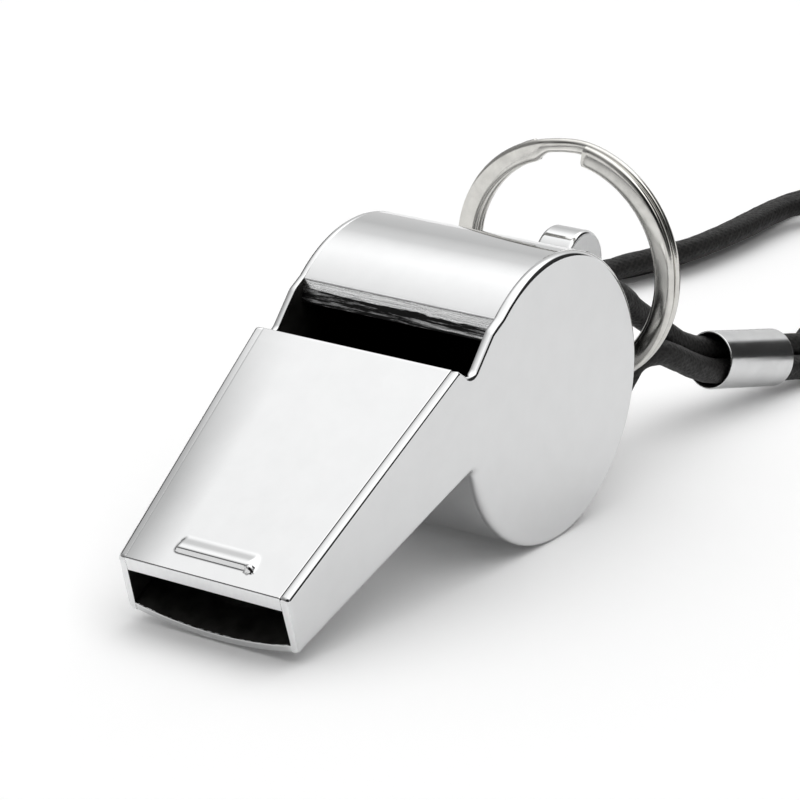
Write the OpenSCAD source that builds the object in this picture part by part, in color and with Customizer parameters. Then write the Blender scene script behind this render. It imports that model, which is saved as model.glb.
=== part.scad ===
// Pea whistle with a split ring and a neck cord, in millimetres.
// It lies on the plane z = 0, with the barrel's axis along Y and the mouthpiece towards -X.
// Angles of the body are measured round the barrel's axis, from +X towards +Z.

/* [Barrel] */
// Outer radius of the round barrel
barrel_r = 12.2; // [11:0.1:14]
// Width over both side plates
body_w = 20; // [18:0.5:26]
// Thickness of the band, the roof, the underside and the windway floor
sheet_t = 0.9; // [0.6:0.05:1.1]
// Thickness of a side plate
side_t = 0.8; // [0.6:0.05:1.1]
// Rounding of a side plate's rim
rim_r = 0.5; // [0.2:0.05:0.55]
// Joint between two plates, which solder fills
solder_gap = 0.02; // [0.01:0.01:0.04]
// Angle of the slot's lip
lip_angle = 132.6; // [128:0.2:136]
// Height of the lip's thickened face
lip_face_h = 1.9; // [1:0.1:1.9]
// Angle between the lip's face and the barrel's radius
lip_turn = 125; // [125:1:135]

/* [Mouthpiece] */
// Length of the roof along its slope
roof_len = 24.1; // [20:0.1:27]
// Slope of the roof
roof_slope = 31.8; // [30:0.1:34]
// Angle of the roof's back edge
roof_angle = 155.4; // [154:0.2:157]
// Distance of the roof's back edge from the barrel's surface
roof_gap = 3.19; // [2.8:0.01:3.6]
// Height of the mouth's end, from the roof to the chin
mouth_h = 5.2; // [4.6:0.1:5.6]
// Lean of the mouth's end from square to the roof
mouth_rake = 15; // [8:0.5:20]
// Angle of the notch where the underside meets the barrel
notch_angle = 191.3; // [190:0.1:193]
// Rounding of the notch
notch_r = 0.5; // [0.2:0.05:0.8]
// Bow of the underside across its width
crown = 0.9; // [0.5:0.05:1.2]
// Angle by which each side plate is bent inward
taper_angle = 4.75; // [3:0.25:6]
// Distance of the bend from the barrel's axis
crease_reach = 12.5; // [12:0.1:13.5]
// Angle of the valley at the front end of the slot
valley_angle = 157.1; // [156.5:0.1:157.6]
// Depth of metal between the valley and the barrel's circle
valley_gap = 1.15; // [0.9:0.05:1.4]
// Rounding of the valley
valley_r = 0.6; // [0.3:0.05:0.9]
// Angle of the shoulder where the side plates' edge turns down to the valley
shoulder_angle = 138.5; // [136:0.5:141]
// Height of the shoulder above the barrel's circle
shoulder_gap = 0.45; // [0.3:0.05:0.6]

/* [Tooth bar] */
// Distance of the bar from the roof's front edge
tooth_inset = 1.5; // [1.2:0.1:3]
// Width of the bar at the roof's surface
tooth_w = 1.6; // [1.2:0.1:2]
// Length of the bar
tooth_len = 8.2; // [5:0.1:10]
// Height of the bar
tooth_h = 0.4; // [0.2:0.05:0.5]

/* [Windway] */
// Height of the windway where it opens at the slot
windway_gap = 1.4; // [1.1:0.05:1.7]
// Distance of the ramp's foot from the mouth
ramp_inset = 3; // [2:0.1:4.5]

/* [Pea] */
// Diameter of the cork ball
pea_d = 9.5; // [8:0.1:9.8]
// Running gap between the ball and the barrel's wall
pea_gap = 0.3; // [0.2:0.05:0.6]

/* [Lug] */
// Thickness of the lug, along the barrel
lug_t = 3.5; // [2.5:0.1:3.8]
// Distance of the lug's middle from the barrel's surface
lug_stand = 4.8; // [4.6:0.1:5.4]
// Outer radius of the upper eye
eye_r = 3.04; // [2.8:0.02:3.3]
// Radius of the upper eye's hole
eye_hole_r = 1.2; // [0.8:0.05:1.4]
// Height of the upper eye above the barrel's axis
eye_rise = 5.4; // [5:0.1:6]
// Outer radius of the lower eye
lower_eye_r = 3.2; // [3:0.05:3.4]
// Radius of the lower eye's hole, which carries the split ring
ring_hole_r = 1.5; // [1.45:0.01:1.7]
// Height of the foot that is soldered to the barrel
foot_h = 6; // [4:0.1:8]

/* [Split ring] */
// Outer diameter of the split ring
ring_d = 21.7; // [21:0.1:22.5]
// Width of the flattened wire, along the ring's radius
wire_w = 1.83; // [1.5:0.01:1.9]
// Thickness of one coil
coil_t = 0.62; // [0.5:0.01:0.64]
// Gap between the two coils
coil_space = 0.42; // [0.41:0.01:0.5]
// Chamfer of the wire's edges
wire_chamfer = 0.18; // [0.1:0.01:0.22]

/* [Neck cord] */
// Diameter of the cord
cord_d = 2.3; // [2.1:0.05:2.35]
// Outer diameter of the ferrule
ferrule_d = 5.2; // [5.1:0.05:5.6]
// Wall of the ferrule
ferrule_wall = 0.22; // [0.18:0.01:0.23]
// Radius of the stored coil, at the outer turn's middle
stow_r = 18; // [17.5:0.1:19]
// Distance between two turns of the stored coil
stow_pitch = 2.75; // [2.72:0.01:2.8]
// Turns of the stored coil, in and out again
stow_turns = 7.5; // [5.5:1:7.5]
// Thickness of the ties round the stored coil
tie_t = 0.5; // [0.3:0.05:0.8]
// Width of the ties
tie_w = 4; // [2:0.1:6]
// Slack between the coil and its ties
tie_gap = 0.05; // [0.02:0.01:0.1]

/* [Hidden] */
$fn = 96;

// Unit vector and point at an angle of the body
function toward(a) = [cos(a), sin(a)];
function unit(v) = v / norm(v);
// Point where the line from p along d meets the line from q along e
function meet(p, d, q, e) =
    p + d * (((q.x - p.x) * e.y - (q.y - p.y) * e.x) / (d.x * e.y - d.y * e.x));

// Outline of the body, in the plane across the barrel's axis
roof_back = (barrel_r + roof_gap) * toward(roof_angle);
roof_dir = toward(roof_slope);
roof_in = toward(roof_slope - 90);
roof_front = roof_back - roof_len * roof_dir;
mouth_dir = toward(roof_slope - 90 - mouth_rake);
chin = roof_front + mouth_h * mouth_dir;
notch = barrel_r * toward(notch_angle);
under_dir = unit(notch - chin);
under_slope = atan2(under_dir.y, under_dir.x);
under_out = toward(under_slope - 90);
valley = (barrel_r + valley_gap) * toward(valley_angle);
shoulder = (barrel_r + shoulder_gap) * toward(shoulder_angle);
disc_blend = 8;
rim_steps = 3;
mouth_reach = -roof_front.x;

// The side plates' inner faces, seen from above
inner_half_w = body_w / 2 - side_t;
inner_crease = crease_reach - side_t * tan(taper_angle / 2);
function mouth_inner_half_w(reach) = inner_half_w - (reach - inner_crease) * tan(taper_angle);
function mouth_outer_half_w(reach) = body_w / 2 - (reach - crease_reach) * tan(taper_angle);
mouth_half_w = mouth_inner_half_w(mouth_reach);

// The bowed underside is part of a large cylinder's wall
bow_r = (mouth_half_w * mouth_half_w + crown * crown) / (2 * crown);
bow_centre = chin - under_out * (bow_r - crown);
crown_low = chin + under_out * crown;

// The band runs from its seat under the windway's wall to the slot's lip
seat_share = 1.15;
band_end = notch_angle - seat_share * sheet_t / barrel_r * 180 / PI;
band_start = band_end - 360;
band_w = body_w - 2 * side_t - 2 * solder_gap;
lip = barrel_r * toward(lip_angle);
lip_foot = lip + lip_face_h * toward(lip_angle + lip_turn);
lip_overlap = 4;

// The windway's floor climbs from its foot on the underside to the slot
ramp_top = roof_back + (sheet_t + windway_gap) * roof_in;
ramp_foot = crown_low + ramp_inset * under_dir - sheet_t * under_out;
ramp_dir = unit(ramp_top - ramp_foot);
ramp_in = [ramp_dir.y, -ramp_dir.x];
wall_seat = (barrel_r - sheet_t) * toward(band_end);
wall_dir = unit(wall_seat - ramp_top);
wall_in = [wall_dir.y, -wall_dir.x];

// The lug, with the split ring hanging in its lower eye
lug_x = barrel_r + lug_stand;
ring_mean_r = (ring_d - wire_w) / 2;
ring_hole_z = eye_rise - ring_mean_r;
ring_pitch = coil_t + coil_space;
lug_reach = lug_x + max(eye_r, lower_eye_r);
tab_share = 0.99;

// Place of the barrel's axis, for an origin at the middle of the underside of the whole body
axis_x = (mouth_reach - lug_reach) / 2;
axis_z = max(barrel_r, -crown_low.y);

// Longer than any cut has to be
cut_reach = 3 * mouth_reach;

// Ball's seat at the bottom of the barrel
pea_orbit_r = barrel_r - sheet_t - pea_gap - pea_d / 2;

// Turn of the split ring, from the top towards -Y, at its ends and at the step between coils
ring_first = 10;
ring_step_from = 345;
ring_step_to = 370;
ring_last = 705;
ring_rings = 92;

// Route of the cord through the ring, from the ferrule's outer end and back to it
ring_loop_route = [
    [49.33, -5.387, 4.048], [45.04, -4.646, 4.984], [40.75, -3.905, 5.92], [36.9, -3.6, 7.55],
    [33.4, -3.3, 10.0], [30, -3.15, 12.3], [27.6, -3.25, 14.2], [25, -3.4, 15.4], [22.6, -3.5, 14.4],
    [21.1, -3.5, 12.0], [20.9, -3.5, 9.4], [21.5, -3.45, 6.7], [23.6, -3.4, 4.8], [26.2, -3.4, 4.9],
    [27.7, -3.6, 6.7], [28.7, -4.3, 8.4], [31, -5.1, 8.6], [33.5, -5.35, 7.45], [36.4, -5.5, 5.9],
    [40.15, -5.505, 4.32], [44.44, -6.246, 3.384], [48.73, -6.987, 2.448]];

// Route from the ferrule round behind the whistle, back beside itself and to the coil
neck_back_route = [
    [49.33, -5.387, 4.048],
    [52.3, -5.9, 3.4], [54.5, -6.28, 2.92], [57, -5.4, 2.0], [60.3, -3.6, 1.4], [65, -2.4, 1.15],
    [71, -2.2, 1.15], [77, -2.0, 1.15], [83, -1.6, 1.15], [89, -0.4, 1.15], [94.5, 2.0, 1.15],
    [98.6, 5.8, 1.2], [99.8, 10.6, 1.5], [98.4, 14.6, 1.9], [94.8, 17.0, 2.2], [90, 17.4, 2.3],
    [85, 17.3, 2.3], [80, 17.5, 2.3], [75.5, 18.0, 2.3], [71, 19.2, 2.3], [66.4, 21.0, 2.1],
    [61.5, 21.4, 1.6], [56, 20.6, 1.15], [50.5, 20.0, 1.15], [46, 20.8, 1.15], [43.9, 22.6, 1.15],
    [43.2, 25, 1.15], [44.4, 27.6, 1.15], [47.6, 28.9, 1.15], [52, 28.6, 1.15], [57, 27.2, 1.15], [62, 25.2, 1.15],
    [67.3, 23.1, 1.15], [71.7, 21.3, 1.15], [76, 20.2, 1.15], [80.2, 19.7, 1.15], [85, 19.5, 1.15],
    [90, 19.6, 1.15], [95, 19.6, 1.15], [100, 18.9, 1.15], [104.2, 16.4, 1.15], [106.2, 11.6, 1.15],
    [106.2, 5.4, 1.15], [105.6, -1.0, 1.4], [104.6, -7.0, 2.2], [103, -13.0, 3.6], [102, -17.8, 4.45]];

// Route from the ferrule to the coil
neck_front_route = [
    [48.73, -6.987, 2.448], [51.7, -7.5, 1.8], [53.9, -7.88, 1.33], [57.0, -8.7, 1.15],
    [60.2, -10.4, 1.15], [63.2, -13.4, 1.3], [65.4, -16.4, 1.6], [66, -18.4, 1.7]];

// The stored coil winds inward on the lower layer and outward on the upper one
stow_centre = [84, -23];
stow_low = tie_t + tie_gap + cord_d / 2;
stow_rings_a_turn = 24;
tie_turn_shares = [0.25, 0.75];
function stow_radius(t) = stow_r - stow_pitch * min(t, stow_turns - t);
function stow_climb(t) = min(1, max(0, 2 * (t - stow_turns / 2) + 1 / 2));
function stow_point(t) = [
    stow_centre.x + stow_radius(t) * cos(180 + 360 * t),
    stow_centre.y + stow_radius(t) * sin(180 + 360 * t),
    stow_low + stow_pitch * stow_climb(t)];
stow_steps = stow_turns * stow_rings_a_turn;
stow_turning = [for (i = [0:stow_steps]) stow_point(i / stow_rings_a_turn)];
stow_run = [0, cord_d, 0];
stow_route = concat(
    [stow_turning[0] + stow_run],
    stow_turning,
    [stow_turning[len(stow_turning) - 1] + stow_run]);

// Least distance between points of a winding that lie more than half a turn apart, less its wire
function least_gap(points, half_turn, thickness) =
    min([for (i = [0:len(points) - half_turn - 1])
        for (j = [i + half_turn:len(points) - 1]) norm(points[i] - points[j])]) - thickness;

// Rings of a tube swept along points, with its sides set out from a reference direction
function heading(points, i) =
    unit(points[min(i + 1, len(points) - 1)] - points[max(i - 1, 0)]);
function across_ring(dir, reference) = unit(cross(reference, dir));
function tube_ring(centre, dir, reference, radius, sides) = [
    for (k = [0:sides - 1])
        centre
        + radius * cos((k + 1 / 2) * 360 / sides) * across_ring(dir, reference)
        + radius * sin((k + 1 / 2) * 360 / sides) * cross(dir, across_ring(dir, reference))];
function tube_rings(points, reference, radius, sides) = [
    for (i = [0:len(points) - 1])
        tube_ring(points[i], heading(points, i), reference, radius, sides)];

// Closed solid through a list of rings that have equally many points
module skin(rings) {
    sides = len(rings[0]);
    last = (len(rings) - 1) * sides;
    walls = [
        for (i = [0:len(rings) - 2])
            for (k = [0:sides - 1])
                let (a = i * sides + k, b = i * sides + (k + 1) % sides)
                    each [[a, a + sides, b + sides], [a, b + sides, b]]];
    start_cap = [for (k = [1:sides - 2]) [0, k, k + 1]];
    end_cap = [for (k = [1:sides - 2]) [last, last + k + 1, last + k]];
    polyhedron(points = [for (ring = rings) each ring], faces = concat(walls, start_cap, end_cap));
}

module cord(points, reference = [0, 0, 1], sides = 8) {
    color("#1b1a1c")
        skin(tube_rings(points, reference, cord_d / 2, sides));
}

// Puts what is drawn round the barrel's axis in its place
module on_axis() {
    translate([axis_x, 0, axis_z])
        children();
}

// Extrudes an outline across the body, evenly to both sides
module across(width) {
    rotate([90, 0, 0])
        linear_extrude(width, center = true)
            children();
}

// Everything between the side plates
module between_plates() {
    plan = [
        [cut_reach, inner_half_w - solder_gap],
        [-inner_crease, inner_half_w - solder_gap],
        [-mouth_reach, mouth_half_w - solder_gap]];
    linear_extrude(cut_reach, center = true)
        polygon(concat(plan, [for (i = [2:-1:0]) [plan[i].x, -plan[i].y]]));
}

// Cylinder whose wall the bowed underside is part of
module bow(radius) {
    translate([bow_centre.x, 0, bow_centre.y])
        rotate([0, 90 - under_slope, 0])
            cylinder(h = cut_reach, r = radius, center = true, $fn = 360);
}

// Points round the inner corner at v, between the ways to a and b
function rounded_corner(v, a, b, radius, steps = 6) =
    let (to_a = unit(a - v),
         to_b = unit(b - v),
         half = acos(to_a * to_b) / 2,
         centre = v + unit(to_a + to_b) * radius / sin(half),
         from = unit(v + to_a * radius / tan(half) - centre),
         to = unit(v + to_b * radius / tan(half) - centre))
        [for (i = [0:steps]) centre + radius * unit(from * (1 - i / steps) + to * (i / steps))];

// The mouthpiece's side, from its end to well inside the barrel's disc
module mouthpiece_side_outline() {
    below_notch = notch + notch_r * toward(notch_angle + 90);
    polygon(concat(
        [roof_front, chin],
        rounded_corner(notch, chin, below_notch, notch_r),
        [(barrel_r - 2 * rim_r) * toward(notch_angle + disc_blend),
         [0, 0],
         (barrel_r - rim_r) * toward(shoulder_angle - 2 * disc_blend),
         shoulder],
        rounded_corner(valley, shoulder, roof_back, valley_r),
        [roof_back]));
}

// Left side plate: a disc with a rounded rim, and the mouthpiece's side bent inward
module side_plate() {
    translate([0, inner_half_w, 0])
        rotate([-90, 0, 0])
            rotate_extrude()
                polygon(concat(
                    [[0, 0], [barrel_r, 0]],
                    [for (i = [0:rim_steps])
                        [barrel_r - rim_r, side_t - rim_r] + rim_r * toward(90 * i / rim_steps)],
                    [[0, side_t]]));
    intersection() {
        linear_extrude(cut_reach, center = true)
            polygon([[0, inner_half_w], [0, body_w / 2], [-crease_reach, body_w / 2],
                     [-mouth_reach - side_t, mouth_outer_half_w(mouth_reach + side_t)],
                     [-mouth_reach - side_t, mouth_inner_half_w(mouth_reach + side_t)],
                     [-inner_crease, inner_half_w]]);
        across(2 * body_w)
            mouthpiece_side_outline();
    }
}

module side_plate_left() {
    color("#c9ccd0")
        on_axis()
            side_plate();
}

module side_plate_right() {
    color("#c9ccd0")
        on_axis()
            mirror([0, 1, 0])
                side_plate();
}

// Rolled band, with its lip thickened inward, clear of the pea
module barrel_band() {
    color("#bfc2c6")
        on_axis() {
            rotate([90, 0, 0])
                rotate([0, 0, band_start])
                    rotate_extrude(angle = lip_angle - band_start)
                        translate([barrel_r - sheet_t, -band_w / 2])
                            square([sheet_t, band_w]);
            across(band_w)
                difference() {
                    polygon([lip, lip_foot, [0, 0],
                             (barrel_r - sheet_t / 2) * toward(lip_angle - lip_overlap)]);
                    circle(barrel_r - sheet_t - pea_gap / 2);
                }
        }
}

// The roof has a rounded front edge and a raised bar for the teeth
module top_plate() {
    edge_r = sheet_t / 2;
    edge = roof_front + edge_r * (roof_dir + roof_in);
    bar_r = (pow(tooth_w / 2, 2) + tooth_h * tooth_h) / (2 * tooth_h);
    bar_half = tooth_len / 2 - tooth_w / 2;
    bar = roof_front + (tooth_inset + tooth_w / 2) * roof_dir + (bar_r - tooth_h) * roof_in;
    middle = roof_front + edge_r * roof_in;
    color("#d6d8db")
        on_axis() {
            intersection() {
                between_plates();
                across(body_w)
                    union() {
                        polygon([roof_back, edge - edge_r * roof_in, edge + edge_r * roof_in,
                                 roof_back + sheet_t * roof_in]);
                        translate(edge)
                            circle(edge_r);
                    }
            }
            intersection() {
                translate([bar.x, 0, bar.y])
                    union() {
                        rotate([90, 0, 0])
                            cylinder(h = 2 * bar_half, r = bar_r, center = true);
                        for (side = [-1, 1])
                            translate([0, side * bar_half, 0])
                                sphere(bar_r);
                    }
                across(body_w)
                    polygon([middle, middle + roof_len * roof_dir,
                             middle + roof_len * (roof_dir - roof_in), middle - roof_len * roof_in]);
            }
        }
}

module mouthpiece_underside() {
    color("#b9bcc0")
        on_axis()
            difference() {
                intersection() {
                    bow(bow_r);
                    between_plates();
                    across(body_w)
                        polygon([roof_front + sheet_t * mouth_dir, chin + 2 * crown * mouth_dir,
                                 notch + 2 * crown * under_out, [0, 0]]);
                }
                bow(bow_r - sheet_t);
                across(body_w)
                    circle(barrel_r + solder_gap);
            }
}

// One bent sheet: the windway's sloping floor, and the wall that closes the barrel below it
module windway_insert() {
    inner_corner = meet(ramp_foot + sheet_t * ramp_in, ramp_dir, wall_seat + sheet_t * wall_in, wall_dir);
    seat = wall_seat + solder_gap * toward(band_end - 90);
    seat_out = meet(seat, unit(wall_seat), inner_corner, wall_dir);
    color("#8f9296")
        on_axis()
            intersection() {
                across(body_w)
                    polygon([ramp_foot, ramp_top, seat, seat_out, inner_corner,
                             ramp_foot + sheet_t * ramp_in]);
                bow(bow_r - sheet_t - solder_gap);
                between_plates();
            }
}

// Tab with an eye at its top and the ring's eye at its foot
module ring_lug() {
    color("#c4c6c9")
        on_axis()
            difference() {
                union() {
                    across(lug_t)
                        translate([lug_x, eye_rise])
                            circle(eye_r);
                    across(lug_t)
                        translate([lug_x, ring_hole_z])
                            circle(lower_eye_r);
                    across(lug_t)
                        polygon([[lug_x - tab_share * eye_r, eye_rise],
                                 [lug_x + tab_share * eye_r, eye_rise],
                                 [lug_x + tab_share * lower_eye_r, ring_hole_z],
                                 [lug_x - tab_share * lower_eye_r, ring_hole_z]]);
                    across(lug_t)
                        translate([0, -foot_h / 2])
                            square([lug_x, foot_h]);
                }
                across(body_w)
                    circle(barrel_r + solder_gap);
                across(body_w)
                    translate([lug_x, eye_rise])
                        circle(eye_hole_r);
                across(body_w)
                    translate([lug_x, ring_hole_z])
                        circle(ring_hole_r);
            }
}

// Side step of the wire at a turn, from the near coil to the far one
function ring_shift(turn) =
    let (done = min(1, max(0, (turn - ring_step_from) / (ring_step_to - ring_step_from))))
        ring_pitch * (done * done * (3 - 2 * done) - 1 / 2);
function ring_turn(i) = ring_first + (ring_last - ring_first) * i / ring_rings;
function ring_spot(turn, out, side) = [
    lug_x + ring_shift(turn) + side,
    -(ring_mean_r + out) * sin(turn),
    eye_rise + (ring_mean_r + out) * cos(turn)];

module split_ring() {
    half_w = wire_w / 2;
    half_t = coil_t / 2;
    section = [
        [half_t, -half_w + wire_chamfer], [half_t, half_w - wire_chamfer],
        [half_t - wire_chamfer, half_w], [-half_t + wire_chamfer, half_w],
        [-half_t, half_w - wire_chamfer], [-half_t, -half_w + wire_chamfer],
        [-half_t + wire_chamfer, -half_w], [half_t - wire_chamfer, -half_w]];
    color("#b4aca4")
        on_axis()
            skin([for (i = [0:ring_rings]) [for (s = section) ring_spot(ring_turn(i), s.y, s.x)]]);
}

module pea() {
    color("#a9794b")
        on_axis()
            translate([0, 0, -pea_orbit_r])
                sphere(pea_d / 2);
}

module cord_ring_loop() {
    cord(ring_loop_route, [0, 1, 0]);
}

module cord_neck_back() {
    cord(concat(neck_back_route, [stow_route[len(stow_route) - 1]]));
}

module cord_neck_front() {
    cord(concat(neck_front_route, [stow_route[0]]));
}

module cord_coil() {
    cord(stow_route, sides = 6);
}

// Sleeve round both strands, from the middle of one pair of route points to another
module ferrule() {
    count = len(ring_loop_route);
    mouth = (ring_loop_route[2] + ring_loop_route[count - 3]) / 2;
    back = (ring_loop_route[0] + ring_loop_route[count - 1]) / 2;
    way = back - mouth;
    color("#c8cace")
        translate(mouth)
            rotate([0, acos(way.z / norm(way)), atan2(way.y, way.x)])
                difference() {
                    cylinder(h = norm(way), d = ferrule_d);
                    translate([0, 0, -ferrule_d])
                        cylinder(h = norm(way) + 2 * ferrule_d, d = ferrule_d - 2 * ferrule_wall);
                }
}

// Flat ties, each drawn round all the turns at its side of the coil
module coil_ties() {
    height = stow_pitch + cord_d + 2 * tie_gap;
    color("#202022")
        for (share = tie_turn_shares) {
            outer = stow_radius(share) + cord_d / 2 + tie_gap;
            inner_turn = floor(stow_turns / 2 - share) + share + 1 / stow_rings_a_turn;
            inner = stow_radius(inner_turn) * cos(360 / stow_rings_a_turn) - cord_d / 2 - tie_gap;
            translate([stow_centre.x, stow_centre.y, 0])
                rotate([0, 0, 180 + 360 * share])
                    difference() {
                        translate([inner - tie_t, -tie_w / 2, 0])
                            cube([outer - inner + 2 * tie_t, tie_w, height + 2 * tie_t]);
                        translate([inner, -tie_w, tie_t])
                            cube([outer - inner, 2 * tie_w, height]);
                    }
        }
}

echo(least_gap_in_coil = least_gap(stow_route, stow_rings_a_turn / 2, cord_d));
echo(least_gap_in_ring = least_gap(
    [for (i = [0:ring_rings]) ring_spot(ring_turn(i), 0, 0)], ring_rings / 4, coil_t));

side_plate_right();
side_plate_left();
barrel_band();
top_plate();
mouthpiece_underside();
windway_insert();
ring_lug();
split_ring();
pea();
cord_ring_loop();
ferrule();
cord_neck_back();
cord_neck_front();
cord_coil();
coil_ties();
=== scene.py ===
"""Looks of a plated pea whistle with a split ring and a neck cord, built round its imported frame."""

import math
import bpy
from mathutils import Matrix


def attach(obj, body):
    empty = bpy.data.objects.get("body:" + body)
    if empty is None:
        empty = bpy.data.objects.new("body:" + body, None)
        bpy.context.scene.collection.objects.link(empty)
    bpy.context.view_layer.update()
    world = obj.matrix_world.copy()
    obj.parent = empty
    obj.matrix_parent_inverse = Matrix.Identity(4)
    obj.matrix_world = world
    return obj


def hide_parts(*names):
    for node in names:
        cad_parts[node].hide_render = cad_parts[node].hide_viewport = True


bl_info = {
    "name": "Pea Whistle",
    "version": (1, 0, 0),
    "blender": (4, 5, 0),
    "location": "View3D > Sidebar > Whistle",
    "description": "Builds a pea whistle with its split ring and neck cord, piece by piece",
    "category": "Object",
}

import bpy
import numpy as np
from mathutils import Vector

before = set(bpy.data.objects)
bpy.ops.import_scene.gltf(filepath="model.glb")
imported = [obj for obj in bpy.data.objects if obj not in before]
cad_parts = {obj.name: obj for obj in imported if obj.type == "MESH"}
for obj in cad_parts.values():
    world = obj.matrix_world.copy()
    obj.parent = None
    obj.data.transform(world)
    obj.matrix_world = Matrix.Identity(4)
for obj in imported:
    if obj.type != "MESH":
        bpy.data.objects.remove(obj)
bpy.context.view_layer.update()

# The barrel's axis in the frame
AXIS_X = 0.0071377
AXIS_Z = 0.0122

# Route of the cord in millimetres: through the ring, then from the ferrule to the coil
RING_LOOP = [
    (45.7, -4.76, 4.84), (40.75, -3.905, 5.92), (36.9, -3.6, 7.55), (33.4, -3.3, 10.0),
    (30, -3.15, 12.3), (27.6, -3.25, 14.2), (25, -3.4, 15.4), (22.6, -3.5, 14.4),
    (21.1, -3.5, 12.0), (20.9, -3.5, 9.4), (21.5, -3.45, 6.7), (23.6, -3.4, 4.8),
    (26.2, -3.4, 4.9), (27.7, -3.6, 6.7), (28.7, -4.3, 8.4), (31, -5.1, 8.6),
    (33.5, -5.35, 7.45), (36.4, -5.5, 5.9), (40.15, -5.505, 4.32), (44.44, -6.246, 3.384),
    (48.73, -6.987, 2.448),
]
NECK_FRONT = [
    (51.7, -7.5, 1.8), (53.9, -7.88, 1.33), (57.0, -8.7, 1.15), (60.2, -10.4, 1.15),
    (63.2, -13.4, 1.3), (65.4, -16.4, 1.6), (66, -18.4, 1.7),
]
# Route from the ferrule round behind the whistle to the coil's other end
NECK_BACK = [
    (46.36, -4.874, 4.696), (49.33, -5.387, 4.048), (52.3, -5.9, 3.4), (54.5, -6.28, 2.92),
    (57, -5.4, 2.0), (60.3, -3.6, 1.4), (65, -2.4, 1.15), (71, -2.2, 1.15), (77, -2.0, 1.15),
    (83, -1.6, 1.15), (89, -0.4, 1.15), (94.5, 2.0, 1.15), (98.6, 5.8, 1.2), (99.8, 10.6, 1.5),
    (98.4, 14.6, 1.9), (94.8, 17.0, 2.2), (90, 17.4, 2.3), (85, 17.3, 2.3), (80, 17.5, 2.3),
    (75.5, 18.0, 2.3), (71, 19.2, 2.3), (66.4, 21.0, 2.1), (61.5, 21.4, 1.6), (56, 20.6, 1.15),
    (50.5, 20.0, 1.15), (46, 20.8, 1.15), (43.9, 22.6, 1.15), (43.2, 25, 1.15), (44.4, 27.6, 1.15),
    (47.6, 28.9, 1.15), (52, 28.6, 1.15), (57, 27.2, 1.15), (62, 25.2, 1.15), (67.3, 23.1, 1.15),
    (71.7, 21.3, 1.15), (76, 20.2, 1.15), (80.2, 19.7, 1.15), (85, 19.5, 1.15), (90, 19.6, 1.15),
    (95, 19.6, 1.15), (100, 18.9, 1.15), (104.2, 16.4, 1.15), (106.2, 11.6, 1.15),
    (106.2, 5.4, 1.15), (105.6, -1.0, 1.4), (104.6, -7.0, 2.2), (103, -13.0, 3.6),
    (102, -17.8, 4.45),
]
STOW_CENTRE = (0.084, -0.023)
STOW_TURNS = 7.5
STOW_POINTS_A_TURN = 24
TIE_TURNS = (0.25, 0.75)
# Horizontal direction from which the studio's light is brighter
BRIGHTER_SIDE = (0.82, -0.57, 0.0)
# Panels of the studio: direction, the cosines at which each begins and is full, and its level
PANELS = (
    ((0.68, -0.62, 0.33), (0.83, 0.91), 0.04),
    ((0.12, -0.95, 0.27), (0.93, 0.975), 0.02),
    ((-0.774, -0.537, 0.20), (0.70, 0.88), 0.03),
    ((-0.83, 0.50, 0.22), (0.982, 0.996), 0.2),
    ((0.45, 0.88, 0.17), (0.955, 0.985), 0.03),
    ((-0.87, 0.49, 0.03), (0.975, 0.995), 3.2),
)
# Turn round the barrel, and height over it, of the two bends between a disc and the roof
VALLEY_ANGLE, VALLEY_RISE = math.radians(157.1), 0.00115
SHOULDER_ANGLE, SHOULDER_RISE = math.radians(138.5), 0.00045
# Edges that turn by more than this are rounded
SHARP_TURN = math.radians(28)
# Rounding of a thin wall's edges, as a share of the wall
WALL_ROUNDING = 0.45
# Places of the materials in a plated piece's list
OUTER, INNER, RIM, ROOF_EDGE = range(4)


def length(name, description, default):
    """Length property in metres."""
    return bpy.props.FloatProperty(
        name=name, description=description, default=default, min=0.0, precision=5,
        subtype="DISTANCE", unit="LENGTH",
    )


def angle(name, description, degrees):
    """Angle property, given in degrees."""
    return bpy.props.FloatProperty(
        name=name, description=description, default=math.radians(degrees),
        subtype="ANGLE", unit="ROTATION",
    )


def factor(name, description, default, highest=1.0):
    """Plain number that shows as a slider."""
    return bpy.props.FloatProperty(
        name=name, description=description, default=default, min=0.0, max=highest, subtype="FACTOR",
    )


def colour(name, description, default):
    """Colour property."""
    return bpy.props.FloatVectorProperty(
        name=name, description=description, default=default, size=3, min=0.0, max=1.0,
        subtype="COLOR",
    )


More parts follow.
